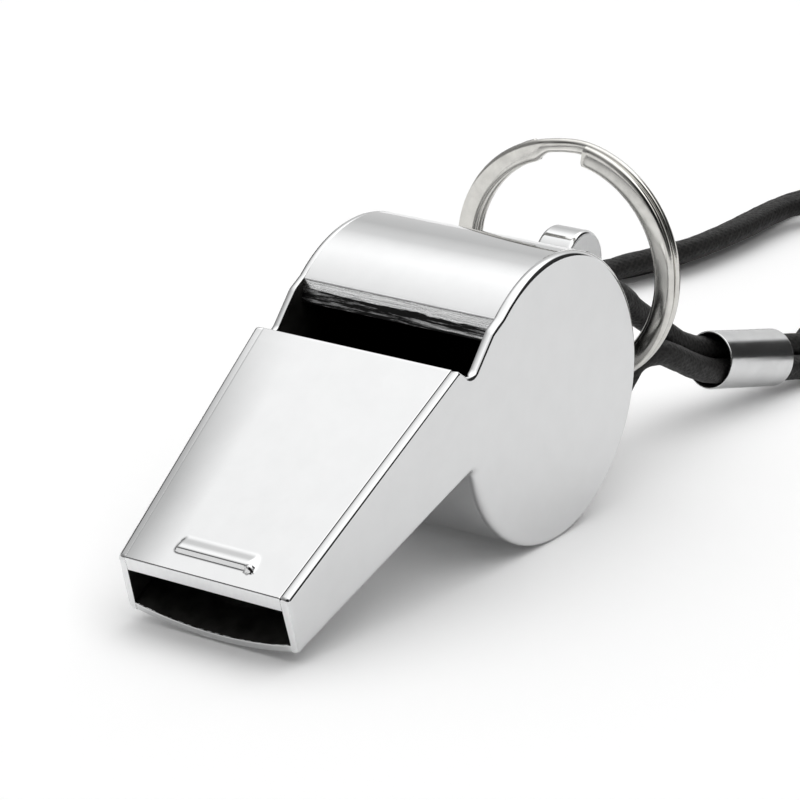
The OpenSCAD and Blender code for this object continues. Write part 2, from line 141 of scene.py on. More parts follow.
class WhistleBodySizes(bpy.types.PropertyGroup):
    """Sizes of the whistle's sheet-metal body."""

    barrel_radius: length("Barrel radius", "Outer radius of the round barrel", 0.0122)
    body_width: length("Body width", "Width over both side plates", 0.020)
    sheet: length("Sheet", "Thickness of the band, roof, underside and windway", 0.0009)
    side_sheet: length("Side sheet", "Thickness of a side plate", 0.0008)
    joint: length("Joint", "Soldered joint between two plates", 0.00002)
    rim_rounding: length("Rim rounding", "Rounding of a side plate's outer edge", 0.0005)
    lip_angle: angle("Lip angle", "Angle of the slot's lip round the barrel", 132.6)
    lip_face: length("Lip face", "Height of the lip's thickened face", 0.0019)
    lip_turn: angle("Lip turn", "Angle between the lip's face and the barrel's radius", 125)
    roof_length: length("Roof length", "Length of the roof along its slope", 0.0241)
    roof_slope: angle("Roof slope", "Slope of the roof", 31.8)
    roof_angle: angle("Roof back angle", "Angle of the roof's back edge", 155.4)
    roof_gap: length("Roof gap", "Distance of the roof's back edge from the barrel", 0.00319)
    mouth_height: length("Mouth height", "Height of the mouth's end", 0.0052)
    mouth_rake: angle("Mouth rake", "Lean of the mouth's end", 15)
    notch_angle: angle("Notch angle", "Angle of the notch below the barrel", 191.3)
    crown: length("Crown", "Bow of the underside across its width", 0.0009)
    taper: angle("Taper", "Inward bend of each side plate", 4.75)
    crease_reach: length("Crease", "Distance of the bend from the barrel's axis", 0.0125)
    bar_length: length("Tooth bar length", "Length of the bar for the teeth", 0.0082)
    bar_width: length("Tooth bar width", "Width of the bar at the roof", 0.0016)
    bar_height: length("Tooth bar height", "Height of the bar", 0.0004)
    bar_inset: length("Tooth bar inset", "Distance of the bar from the front edge", 0.0015)


class WhistleRingSizes(bpy.types.PropertyGroup):
    """Sizes of the lug, the split ring and the ferrule."""

    lug_thickness: length("Lug thickness", "Thickness of the lug along the barrel", 0.0035)
    lug_stand: length("Lug stand", "Distance of the lug's middle from the barrel", 0.0048)
    eye_radius: length("Upper eye", "Outer radius of the upper eye", 0.00304)
    eye_hole: length("Upper hole", "Radius of the upper eye's hole", 0.0012)
    eye_rise: length("Eye rise", "Height of the upper eye above the barrel's axis", 0.0054)
    lower_radius: length("Lower eye", "Outer radius of the lower eye", 0.0032)
    lower_hole: length("Lower hole", "Radius of the hole that carries the ring", 0.0015)
    foot: length("Foot", "Height of the soldered foot", 0.006)
    ring_diameter: length("Ring diameter", "Outer diameter of the split ring", 0.0217)
    wire_width: length("Wire width", "Width of the ring's wire along its radius", 0.00183)
    coil_thickness: length("Coil thickness", "Thickness of one coil of the ring", 0.00078)
    seam: length("Seam", "Gap between the ring's coils", 0.0001)
    ferrule_diameter: length("Ferrule diameter", "Outer diameter of the ferrule", 0.0052)
    ferrule_wall: length("Ferrule wall", "Wall of the ferrule", 0.00022)


class WhistleCordSizes(bpy.types.PropertyGroup):
    """Sizes of the neck cord and its stored coil."""

    diameter: length("Cord diameter", "Diameter of the cord", 0.0023)
    stow_radius: length("Coil radius", "Radius of the coil's outer turn", 0.018)
    stow_pitch: length("Coil pitch", "Distance between two turns", 0.00275)
    groove: factor("Groove depth", "Depth of the grooves, as a share of the radius", 0.11)
    tie_width: length("Tie width", "Width of the ties round the coil", 0.004)
    tie_thickness: length("Tie thickness", "Thickness of the ties", 0.0005)
    tie_slack: length("Tie slack", "Slack between the coil and its ties", 0.00005)


class WhistleFinishes(bpy.types.PropertyGroup):
    """Colours of the plating, the cord and the cork."""

    plating: colour("Plating", "Colour of the polished plating", (0.66, 0.663, 0.665))
    ring_plating: colour("Ring plating", "Colour of the nickel-plated ring", (0.64, 0.63, 0.60))
    # The inside's near-black colour is painted shade: it darkens the hollows by colour.
    inside: colour("Inside", "Colour of the unpolished inside", (0.035, 0.034, 0.032))
    cord: colour("Cord", "Colour of the neck cord", (0.010, 0.0095, 0.009))
    tie: colour("Tie", "Colour of the coil's ties", (0.02, 0.02, 0.022))
    cork: colour("Cork", "Colour of the pea", (0.42, 0.235, 0.11))
    floor: colour("Floor", "Colour of the floor", (0.985, 0.985, 0.985))


class WhistleStage(bpy.types.PropertyGroup):
    """Camera, floor and light."""

    camera_place: bpy.props.FloatVectorProperty(
        name="Camera", description="Place of the camera", size=3, subtype="TRANSLATION",
        unit="LENGTH", default=(-0.25026993, -0.17288470, 0.12056414))
    camera_aim: bpy.props.FloatVectorProperty(
        name="Aim", description="Point that the camera looks at", size=3, subtype="TRANSLATION",
        unit="LENGTH", default=(0.00404762, 0.00334449, 0.01038842))
    lens: bpy.props.FloatProperty(
        name="Lens", description="Focal length of the camera", default=180.0, unit="CAMERA")
    floor_reach: length("Floor reach", "Distance to the floor's edge", 6.0)
    overhead: factor("Overhead", "Brightness of the soft light above", 1.62, 2.0)
    walls: factor("Walls", "Brightness of the studio's walls", 0.60, 2.0)
    right_bias: factor("Right bias", "How much brighter the light is on the right", 0.6)
    floor_lift: factor("Floor lift", "Share of white added to the floor as it is seen", 0.042)


def body_sizes():
    return bpy.context.scene.whistle_body


def ring_sizes():
    return bpy.context.scene.whistle_ring


def cord_sizes():
    return bpy.context.scene.whistle_cord


def finishes():
    return bpy.context.scene.whistle_finishes


def toward(turn, reach=1.0):
    """Point round the barrel's axis, in the section across it: x and z."""
    return Vector((math.cos(turn) * reach, math.sin(turn) * reach))


def in_section(point):
    """A point of the frame in the section across the barrel, from its axis."""
    return Vector((point.x - AXIS_X, point.z - AXIS_Z))


class BodyLines:
    """Corner points and directions of the body in the section across the barrel."""

    RIM_FACING, RIM_NEAR = 0.93, 0.0004  # how straight, and how near, the mouth's rim faces are

    def __init__(self):
        s = body_sizes()
        self.roof_back = toward(s.roof_angle, s.barrel_radius + s.roof_gap)
        self.roof_dir = toward(s.roof_slope)
        self.roof_in = toward(s.roof_slope - math.pi / 2)
        self.roof_front = self.roof_back - self.roof_dir * s.roof_length
        self.mouth_dir = toward(s.roof_slope - math.pi / 2 - s.mouth_rake)
        self.chin = self.roof_front + self.mouth_dir * s.mouth_height
        self.notch = toward(s.notch_angle, s.barrel_radius)
        self.under_dir = (self.notch - self.chin).normalized()
        self.under_out = Vector((self.under_dir.y, -self.under_dir.x))
        self.valley = toward(VALLEY_ANGLE, s.barrel_radius + VALLEY_RISE)
        self.shoulder = toward(SHOULDER_ANGLE, s.barrel_radius + SHOULDER_RISE)
        self.inner = s.body_width / 2 - s.side_sheet
        self.crease = s.crease_reach - s.side_sheet * math.tan(s.taper / 2)
        mouth_half = self.half_at(-self.roof_front.x)
        self.bow_radius = (mouth_half ** 2 + s.crown ** 2) / (2 * s.crown)

    def faces_mouth(self, centre, normal):
        """Whether a face belongs to the flat rim round the mouth."""
        front = Vector((self.mouth_dir.y, -self.mouth_dir.x))
        ahead = (in_section(centre) - self.roof_front).dot(front)
        faces_front = Vector((normal.x, normal.z)).dot(front) > self.RIM_FACING
        return faces_front and abs(ahead) < self.RIM_NEAR

    def half_at(self, reach):
        """Half of the width between the side plates, at a distance in front of the axis."""
        return self.inner - max(0.0, reach - self.crease) * math.tan(body_sizes().taper)


def rounded_corner(corner, before, after, radius, steps=6):
    """Points round a corner of an outline, between the ways to the points before and after it."""
    to_a, to_b = (before - corner).normalized(), (after - corner).normalized()
    half = to_a.angle(to_b) / 2
    centre = corner + (to_a + to_b).normalized() * (radius / math.sin(half))
    first = (corner + to_a * (radius / math.tan(half)) - centre).normalized()
    last = (corner + to_b * (radius / math.tan(half)) - centre).normalized()
    return [centre + first.lerp(last, i / steps).normalized() * radius for i in range(steps + 1)]


def deselect_all():
    """Leave edit mode and select nothing."""
    if bpy.context.object and bpy.context.object.mode != "OBJECT":
        bpy.ops.object.mode_set(mode="OBJECT")
    bpy.ops.object.select_all(action="DESELECT")


def make_only(piece):
    """Select one piece alone and make it the active one."""
    deselect_all()
    piece.select_set(True)
    bpy.context.view_layer.objects.active = piece


def named(name):
    """Name the piece that was just added."""
    piece = bpy.context.object
    piece.name = piece.data.name = name
    return piece


def edit_all(piece, mode="VERT"):
    """Open a piece in edit mode with everything selected."""
    make_only(piece)
    bpy.ops.object.mode_set(mode="EDIT")
    bpy.ops.mesh.select_mode(type=mode)
    bpy.ops.mesh.select_all(action="SELECT")


def close_edit():
    bpy.ops.object.mode_set(mode="OBJECT")


def point_outward(piece):
    """Turn all faces of a closed piece outward."""
    edit_all(piece)
    bpy.ops.mesh.normals_make_consistent(inside=False)
    close_edit()


def apply_modifier(piece, name, kind, **settings):
    """Add a modifier to the active piece, set it and apply it."""
    modifier = piece.modifiers.new(name, kind)
    for key, value in settings.items():
        setattr(modifier, key, value)
    bpy.ops.object.modifier_apply(modifier=modifier.name)


def vertex_places(piece):
    places = np.empty(len(piece.data.vertices) * 3)
    piece.data.vertices.foreach_get("co", places)
    return places.reshape(-1, 3)


def place_vertices(piece, *columns):
    """Place a piece's vertices, given as a table or as its x, y and z."""
    places = columns[0] if len(columns) == 1 else np.stack(columns, 1)
    piece.data.vertices.foreach_set("co", np.asarray(places, float).ravel())
    piece.data.update()


def add_outline(name, outline, y=0.0):
    """Add a filled polygon across the barrel."""
    deselect_all()
    bpy.ops.mesh.primitive_circle_add(vertices=len(outline), radius=0.01, fill_type="NGON")
    piece = named(name)
    for vertex, point in zip(piece.data.vertices, outline):
        vertex.co = (AXIS_X + point[0], y, AXIS_Z + point[1])
    return piece


def cut_sheet(name, outline, y_from, y_to):
    """Fill an outline across the barrel's axis and extrude it along the barrel."""
    piece = add_outline(name, outline, y_from)
    edit_all(piece)
    bpy.ops.mesh.extrude_region_move(TRANSFORM_OT_translate={"value": (0, y_to - y_from, 0)})
    close_edit()
    point_outward(piece)
    return piece


def unit_sheet(name, along, across, thick):
    """Add a grid over the unit square, extruded to a slab of one unit where it is thick."""
    deselect_all()
    bpy.ops.mesh.primitive_grid_add(x_subdivisions=along, y_subdivisions=across, size=1,
                                    location=(0.5, 0.5, 0))
    bpy.ops.object.transform_apply(location=True, rotation=False, scale=False)
    piece = named(name)
    if thick:
        edit_all(piece)
        bpy.ops.mesh.extrude_region_move(TRANSFORM_OT_translate={"value": (0, 0, 1)})
        close_edit()
    return piece


def seal_tube(piece):
    """Merge the seam of a rolled-up grid and fill the ends that are left open."""
    edit_all(piece)
    bpy.ops.mesh.remove_doubles(threshold=1e-6)
    bpy.ops.mesh.select_all(action="SELECT")
    bpy.ops.mesh.fill_holes(sides=0)
    close_edit()
    point_outward(piece)


def round_edges(piece, width, weigh=None, segments=3):
    """Round the sharp edges, each by its own share of a width, and keep flat faces flat."""
    edit_all(piece, "EDGE")
    bpy.ops.mesh.select_all(action="DESELECT")
    bpy.ops.mesh.edges_select_sharp(sharpness=SHARP_TURN)
    close_edit()
    shares = {}
    for edge in piece.data.edges:
        if edge.select:
            a, b = (piece.data.vertices[i].co for i in edge.vertices)
            shares[edge.index] = weigh((a + b) / 2, (b - a).normalized()) if weigh else 1.0
    weights = piece.data.attributes.new("bevel_weight_edge", "FLOAT", "EDGE")
    for index, share in shares.items():
        weights.data[index].value = share
    make_only(piece)
    bpy.ops.object.shade_smooth()
    apply_modifier(piece, "Edge rounding", "BEVEL", width=width, segments=segments,
                   limit_method="WEIGHT", use_clamp_overlap=False)
    keep_faces_flat(piece)


def keep_faces_flat(piece):
    """Let the large faces set the shading at their edges."""
    make_only(piece)
    bpy.ops.object.shade_smooth()
    apply_modifier(piece, "Flat faces", "WEIGHTED_NORMAL")


def finish_piece(piece, body, materials, nodes, kind=None):
    """Give a piece its materials, its place in the frame and the nodes that it stands for."""
    piece.data.materials.clear()
    for material in materials:
        piece.data.materials.append(material())
    if kind:
        for face in piece.data.polygons:
            face.material_index = int(kind(face.center, face.normal))
    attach(piece, body)
    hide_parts(*nodes)


def dress_node(name, material):
    """Give a solid of the frame its material."""
    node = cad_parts[name]
    node.data.materials.clear()
    node.data.materials.append(material())


class Nodes:
    """Short way to add and join the nodes of a material or a world."""

    def __init__(self, owner, shader):
        owner.use_nodes = True
        self.tree = owner.node_tree
        self.shader = self.tree.nodes[shader]

    def add(self, kind, **settings):
        node = self.tree.nodes.new(kind)
        for key, value in settings.items():
            setattr(node, key, value)
        return node

    def join(self, start, end):
        self.tree.links.new(start, end)

    def set(self, node, **values):
        """Set sockets to numbers, by their names with underscores."""
        for key, value in values.items():
            node.inputs[key.replace("_", " ")].default_value = value

    def place(self, scale=(1, 1, 1), source="Object"):
        mapping = self.add("ShaderNodeMapping")
        self.set(mapping, Scale=scale)
        self.join(self.add("ShaderNodeTexCoord").outputs[source], mapping.inputs["Vector"])
        return mapping.outputs["Vector"]

    def split(self, place):
        node = self.add("ShaderNodeSeparateXYZ")
        self.join(place, node.inputs["Vector"])
        return node.outputs["X"], node.outputs["Y"], node.outputs["Z"]

    def noise(self, place, scale, detail, rough):
        node = self.add("ShaderNodeTexNoise")
        self.set(node, Scale=scale, Detail=detail, Roughness=rough)
        self.join(place, node.inputs["Vector"])
        return node.outputs["Fac"]

    def spread(self, value, low, high, to_low=0.0, to_high=1.0, way="LINEAR"):
        node = self.add("ShaderNodeMapRange", interpolation_type=way)
        self.set(node, From_Min=low, From_Max=high, To_Min=to_low, To_Max=to_high)
        self.join(value, node.inputs["Value"])
        return node.outputs["Result"]

    def facing(self, place, direction):
        """Cosine of the angle between a place's direction and another."""
        node = self.add("ShaderNodeVectorMath", operation="DOT_PRODUCT")
        node.inputs[1].default_value = Vector(direction).normalized()
        self.join(place, node.inputs[0])
        return node.outputs["Value"]

    def math(self, operation, *values):
        node = self.add("ShaderNodeMath", operation=operation)
        for socket, value in zip(node.inputs, values):
            if isinstance(value, (int, float)):
                socket.default_value = value
            else:
                self.join(value, socket)
        return node.outputs["Value"]

    def blend(self, share, low, high):
        """Colour between two colours."""
        node = self.add("ShaderNodeMix", data_type="RGBA")
        self.join(share, node.inputs["Factor"])
        ends = [socket for socket in node.inputs if socket.type == "RGBA"]
        for socket, value in zip(ends, (low, high)):
            socket.default_value = (*value, 1.0)
        return next(socket for socket in node.outputs if socket.type == "RGBA")

    def relief(self, height, depth, after=None):
        node = self.add("ShaderNodeBump")
        self.set(node, Strength=1.0, Distance=depth)
        self.join(height, node.inputs["Height"])
        if after is not None:
            self.join(after, node.inputs["Normal"])
        return node.outputs["Normal"]

    def finish(self, colour, roughness, normal, **values):
        """Join the shader to its patterns and set its other sockets."""
        for key, start in (("Base Color", colour), ("Roughness", roughness), ("Normal", normal)):
            self.join(start, self.shader.inputs[key])
        self.set(self.shader, **values)


def tones(base, *shares):
    """Darker and lighter shades of a colour."""
    return [tuple(min(1.0, channel * share) for channel in base) for share in shares]


def procedural(paint):
    """Turn a function that joins nodes into one that makes its material on the first call."""
    def material():
        name = paint.__name__
        if name not in bpy.data.materials:
            paint(Nodes(bpy.data.materials.new(name), "Principled BSDF"))
        return bpy.data.materials[name]
    return material


@procedural
def polished_plating(n):
    """Mirror plating with a faint waviness, hairlines and light handling marks."""
    place = n.place()
    marks = n.noise(place, 420, 4, 0.6)
    waves = n.relief(n.noise(place, 160, 1, 0.4), 4e-6)
    hairs = n.noise(n.place((1.0, 1.0, 0.12)), 9000, 2, 0.5)
    n.finish(n.blend(n.spread(marks, 0.35, 0.75), *tones(finishes().plating, 1.01, 0.98)),
             n.spread(marks, 0.3, 0.8, 0.05, 0.09), n.relief(hairs, 2e-7, waves), Metallic=1.0)


@procedural
def pressed_plating(n):
    """The same plating on the roof, which falls away a little towards its left edge."""
    place = n.place()
    marks = n.noise(place, 380, 4, 0.6)
    waves = n.relief(n.noise(place, 150, 1, 0.4), 5e-6)
    x, y, _ = n.split(place)
    fall_start, fall_pace = 0.0035, 250
    fall = n.math("MAXIMUM", n.math("MULTIPLY", n.math("SUBTRACT", y, fall_start), fall_pace), 0.0)
    towards_front = n.spread(x, -0.022, -0.008, -0.36, -0.1)
    droop = n.math("MULTIPLY", n.math("MULTIPLY", fall, fall), towards_front)
    n.finish(n.blend(n.spread(marks, 0.35, 0.75), *tones(finishes().plating, 1.02, 0.99)),
             n.spread(marks, 0.3, 0.8, 0.05, 0.09), n.relief(droop, 0.001, waves), Metallic=1.0)


@procedural
def satin_plating_painted_light(n):
    """Plating that was ground flat and left satin, in a lighter colour than the polished plating:
    painted light that brightens these faces.
    """
    grind = n.noise(n.place((1.0, 1.0, 0.2)), 4000, 3, 0.6)
    n.finish(n.blend(grind, *tones(finishes().plating, 1.4, 1.28)),
             n.spread(grind, 0.3, 0.7, 0.36, 0.48), n.relief(grind, 2e-6), Metallic=0.6)


@procedural
def inner_metal_painted_shade(n):
    """Dull, unpolished metal inside the whistle, coloured near black: painted shade of the hollow
    inside.
    """
    stain = n.noise(n.place(), 700, 5, 0.65)
    n.finish(n.blend(n.spread(stain, 0.3, 0.75), *tones(finishes().inside, 0.6, 1.7)),
             n.spread(stain, 0.3, 0.7, 0.42, 0.7), n.relief(stain, 3e-5), Metallic=0.85)


@procedural
def cut_metal(n):
    """Lip of the slot: plated, and darker in ragged streaks towards its lower part."""
    streaks = n.noise(n.place((1.0, 0.05, 1.0)), 3000, 6, 0.75)
    patches = n.noise(n.place((1.0, 0.22, 1.0)), 900, 4, 0.65)
    lip_top = AXIS_Z + math.sin(body_sizes().lip_angle) * body_sizes().barrel_radius
    # The face darkens in ragged streaks below the lip's top, towards the inside of the slot.
    low = n.spread(n.split(n.place())[2], lip_top - 0.0006, lip_top - 0.0010)
    ragged = n.math("ADD", low, n.math("MULTIPLY", n.math("SUBTRACT", patches, 0.5), 1.9))
    darker_low = n.math("MULTIPLY", n.spread(ragged, 0.3, 0.5), n.spread(streaks, 0.5, 0.64, 1, 0.1))
    n.finish(n.blend(darker_low, *tones(finishes().plating, 1.3), (0.02, 0.02, 0.02)),
             n.spread(darker_low, 0, 1, 0.12, 0.5), n.relief(streaks, 2.5e-5), Metallic=1.0)


@procedural
def nickel_wire(n):
    """Warm nickel of the split ring, with drawing marks along the wire."""
    marks = n.noise(n.place(), 900, 4, 0.6)
    lines = n.noise(n.place((60.0, 1.0, 1.0), "UV"), 14, 3, 0.6)
    n.finish(n.blend(n.spread(marks, 0.3, 0.8), *tones(finishes().ring_plating, 1.08, 0.86)),
             n.spread(marks, 0.3, 0.8, 0.10, 0.22), n.relief(lines, 3e-6), Metallic=1.0)


@procedural
def ferrule_metal(n):
    """Thin polished tube with light handling marks."""
    marks = n.noise(n.place(), 700, 4, 0.6)
    n.finish(n.blend(n.spread(marks, 0.3, 0.8), *tones(finishes().plating, 1.0, 0.88)),
             n.spread(marks, 0.3, 0.8, 0.16, 0.26), n.relief(marks, 6e-6), Metallic=1.0)


@procedural
def cord_weave(n):
    """Black braided cord: slanted strands crossing round it, with a dry, dusty nap."""
    strands_along, strands_round = 1150.0, 12.0
    u, v, _ = n.split(n.add("ShaderNodeTexCoord").outputs["UV"])
    along, around = n.math("MULTIPLY", u, strands_along), n.math("MULTIPLY", v, strands_round)
    braid = n.math("MAXIMUM", *(
        n.math("SINE", n.math("MULTIPLY", n.math(crossing, along, around), math.tau))
        for crossing in ("ADD", "SUBTRACT")))
    nap = n.noise(n.place(), 3800, 4, 0.7)
    dust = n.noise(n.place(), 1500, 3, 0.6)
    height = n.math("ADD", n.math("MULTIPLY", braid, 0.35), nap)
    lift = n.math("MULTIPLY", nap, n.spread(braid, -0.4, 1.0, 0.6, 1.0))
    n.finish(n.blend(n.spread(lift, 0.35, 0.72), *tones(finishes().cord, 0.55, 2.6)),
             n.spread(dust, 0.3, 0.7, 0.48, 0.72), n.relief(height, 5e-5), Specular_IOR_Level=0.3)


@procedural
def tie_fabric(n):
    """Woven black strap."""
    place = n.place()
    fibres = n.noise(place, 5200, 3, 0.7)
    weave = n.add("ShaderNodeTexWave", wave_type="BANDS", bands_direction="DIAGONAL")
    n.set(weave, Scale=520.0, Distortion=1.5)
    n.join(place, weave.inputs["Vector"])
    height = n.math("ADD", n.math("MULTIPLY", weave.outputs["Fac"], 0.6), fibres)
    n.finish(n.blend(n.spread(height, 0.4, 1.2), *tones(finishes().tie, 0.6, 2.2)),
             n.spread(fibres, 0.3, 0.7, 0.7, 0.9), n.relief(height, 6e-5), Sheen_Weight=0.25)


@procedural
def cork_grain(n):
    """Pressed cork: tan granules with dark pits between them."""
    place = n.place()
    granules = n.add("ShaderNodeTexVoronoi", feature="F1")
    n.set(granules, Scale=900.0)
    n.join(place, granules.inputs["Vector"])
    grain = n.noise(place, 2400, 5, 0.7)
    tone = n.math("MULTIPLY", n.spread(granules.outputs["Distance"], 0.1, 0.75, 1, 0.15), grain)
    n.finish(n.blend(n.spread(tone, 0.05, 0.55), *tones(finishes().cork, 0.28, 1.35)),
             n.spread(grain, 0.3, 0.7, 0.75, 0.95), n.relief(tone, 1.5e-4))


@procedural
def studio_floor(n):
    """White floor that keeps the object's shadow and looks as white in the metal."""
    grain = n.noise(n.place(), 3.0, 2, 0.5)
    paths = n.add("ShaderNodeLightPath").outputs
    seen = n.math("MAXIMUM", paths["Is Camera Ray"], n.math(
        "MAXIMUM", paths["Is Glossy Ray"], paths["Is Transmission Ray"]))
    lift = n.math("MULTIPLY", seen, bpy.context.scene.whistle_stage.floor_lift)
    n.join(n.blend(grain, *tones(finishes().floor, 1.0, 0.995)), n.shader.inputs["Base Color"])
    n.join(lift, n.shader.inputs["Emission Strength"])
    n.set(n.shader, Roughness=0.9, Specular_IOR_Level=0.0, Emission_Color=(1.0, 1.0, 1.0, 1.0))


def smooth_route(points, step):
    """Points a step apart along a smooth curve through a route, and the curve's length."""
    points = np.asarray(points, float)
    padded = np.vstack([2 * points[0] - points[1], points, 2 * points[-1] - points[-2]])
    fine = []
    for i in range(1, len(padded) - 2):
        p0, p1, p2, p3 = padded[i - 1:i + 3]
        t = np.linspace(0, 1, 24, endpoint=False)[:, None]
        fine.append(0.5 * (2 * p1 + (p2 - p0) * t + (2 * p0 - 5 * p1 + 4 * p2 - p3) * t ** 2
                           + (3 * p1 - p0 - 3 * p2 + p3) * t ** 3))
    fine = np.vstack([*fine, points[-1:]])
    run = np.concatenate([[0], np.cumsum(np.linalg.norm(np.diff(fine, axis=0), axis=1))])
    stops = np.linspace(0, run[-1], int(round(run[-1] / step)) + 1)
    return np.stack([np.interp(stops, run, fine[:, k]) for k in range(3)], 1), run[-1]


def stow_points():
    """Route of the stored coil: inward on the lower layer and outward on the upper one."""
    s = cord_sizes()
    low = s.tie_thickness + s.tie_slack + s.diameter / 2
    points = []
    for i in range(int(STOW_TURNS * STOW_POINTS_A_TURN) + 1):
        t = i / STOW_POINTS_A_TURN
        radius = s.stow_radius - s.stow_pitch * min(t, STOW_TURNS - t)
        climb = min(1.0, max(0.0, 2 * (t - STOW_TURNS / 2) + 0.5))
        turn = math.pi + math.tau * t
        points.append((STOW_CENTRE[0] + radius * math.cos(turn),
                       STOW_CENTRE[1] + radius * math.sin(turn), low + s.stow_pitch * climb))
    return points


def cord_route():
    """The whole cord: from the ferrule through the ring, back, into the coil and home again."""
    def metres(points):
        return [tuple(0.001 * c for c in p) for p in points]
    return metres(RING_LOOP) + metres(NECK_FRONT) + stow_points() + metres(NECK_BACK)[::-1]


def sideways(route):
    """Two directions across a route at each point, carried along it without twist."""
    ahead = np.gradient(route, axis=0)
    ahead /= np.linalg.norm(ahead, axis=1)[:, None]
    side = np.cross(ahead[0], (0, 0, 1.0))
    sides = []
    for direction in ahead:
        side = side - direction * (side @ direction)
        side /= np.linalg.norm(side)
        sides.append(side)
    sides = np.array(sides)
    return sides, np.cross(sides, ahead)


class WHISTLE_OT_stage(bpy.types.Operator):
    """Add the camera, the floor and the soft studio light"""

    bl_idname = "whistle.stage"
    bl_label = "Stage"

    def execute(self, context):
        stage = context.scene.whistle_stage
        deselect_all()
        bpy.ops.object.camera_add(location=stage.camera_place)
        camera = context.object
        camera.name = "photo_camera"
        aim = Vector(stage.camera_aim) - Vector(stage.camera_place)
        camera.rotation_euler = aim.to_track_quat("-Z", "Y").to_euler()
        camera.data.sensor_width = 36.0
        camera.data.lens = stage.lens
        camera.data.clip_start, camera.data.clip_end = 0.01, 50.0
        context.scene.camera = camera
        bpy.ops.mesh.primitive_circle_add(vertices=128, radius=stage.floor_reach, fill_type="NGON")
        floor = named("studio_floor")
        floor.data.materials.append(studio_floor())
        self.light(context, stage)
        context.scene.view_settings.view_transform = "Standard"
        return {"FINISHED"}

    def light(self, context, stage):
        """Soft light above, darker walls round it, brighter on the right, and the panels."""
        world = context.scene.world = bpy.data.worlds.new("soft_studio")
        n = Nodes(world, "Background")
        place = n.add("ShaderNodeTexCoord").outputs["Generated"]
        ramp = n.add("ShaderNodeValToRGB")
        n.join(n.split(place)[2], ramp.inputs["Fac"])
        wall, above = stage.walls, stage.overhead
        stops = [(0.0, wall), (0.42, wall), (0.62, 0.54 * above), (0.80, above), (1.0, above)]
        elements = ramp.color_ramp.elements
        while len(elements) < len(stops):
            elements.new(0.5)
        for element, (position, level) in zip(elements, stops):
            element.position = position
            element.color = (level, level, level, 1.0)
        strength = n.spread(n.facing(place, BRIGHTER_SIDE), -1.0, 1.0,
                            1.0 - stage.right_bias, 1.0 + stage.right_bias)
        for direction, reach, level in PANELS:
            share = n.spread(n.facing(place, direction), *reach, 1.0, level, "SMOOTHSTEP")
            strength = n.math("MULTIPLY", strength, share)
        n.join(ramp.outputs["Color"], n.shader.inputs["Color"])
        n.join(strength, n.shader.inputs["Strength"])


class WHISTLE_OT_neck_cord(bpy.types.Operator):
    """Lay the braided neck cord along its route, with the unseen length coiled"""

    bl_idname = "whistle.neck_cord"
    bl_label = "Neck Cord"

    STEP = 0.0007  # between two rings of the tube
    SIDES = 24
    GROOVES, GROOVE_TWIST, GROOVE_FROM = 5, 90.0, 0.45
    # Unevenness of the braid: its share of the radius, its pace along and its waves round the cord
    WAVES = ((0.01, 2100.0, 2), (0.0075, 5300.0, -1))
    SLIMMER = 0.01  # share of the radius that keeps the waves inside the diameter

    def execute(self, context):
        s = cord_sizes()
        route, run = smooth_route(cord_route(), self.STEP)
        sides, ups = sideways(route)
        piece = unit_sheet("neck_cord", len(route) - 1, self.SIDES, False)
        places = vertex_places(piece)
        ring = np.rint(places[:, 0] * (len(route) - 1)).astype(int)
        turn = places[:, 1] * math.tau
        metres = ring * run / (len(route) - 1)
        groove = -np.cos(self.GROOVES * turn + metres * self.GROOVE_TWIST) - self.GROOVE_FROM
        waves = sum(depth * np.sin(metres * pace + rounds * turn)
                    for depth, pace, rounds in self.WAVES)
        radius = s.diameter / 2 * (1 - s.groove * np.clip(groove, 0, 1) + waves - self.SLIMMER)
        place_vertices(piece, route[ring] + sides[ring] * (radius * np.cos(turn))[:, None]
                       + ups[ring] * (radius * np.sin(turn))[:, None])
        seal_tube(piece)
        bpy.ops.object.shade_smooth()
        finish_piece(piece, "root", [cord_weave],
                     ["cord_ring_loop", "cord_neck_back", "cord_neck_front", "cord_coil"])
        return {"FINISHED"}


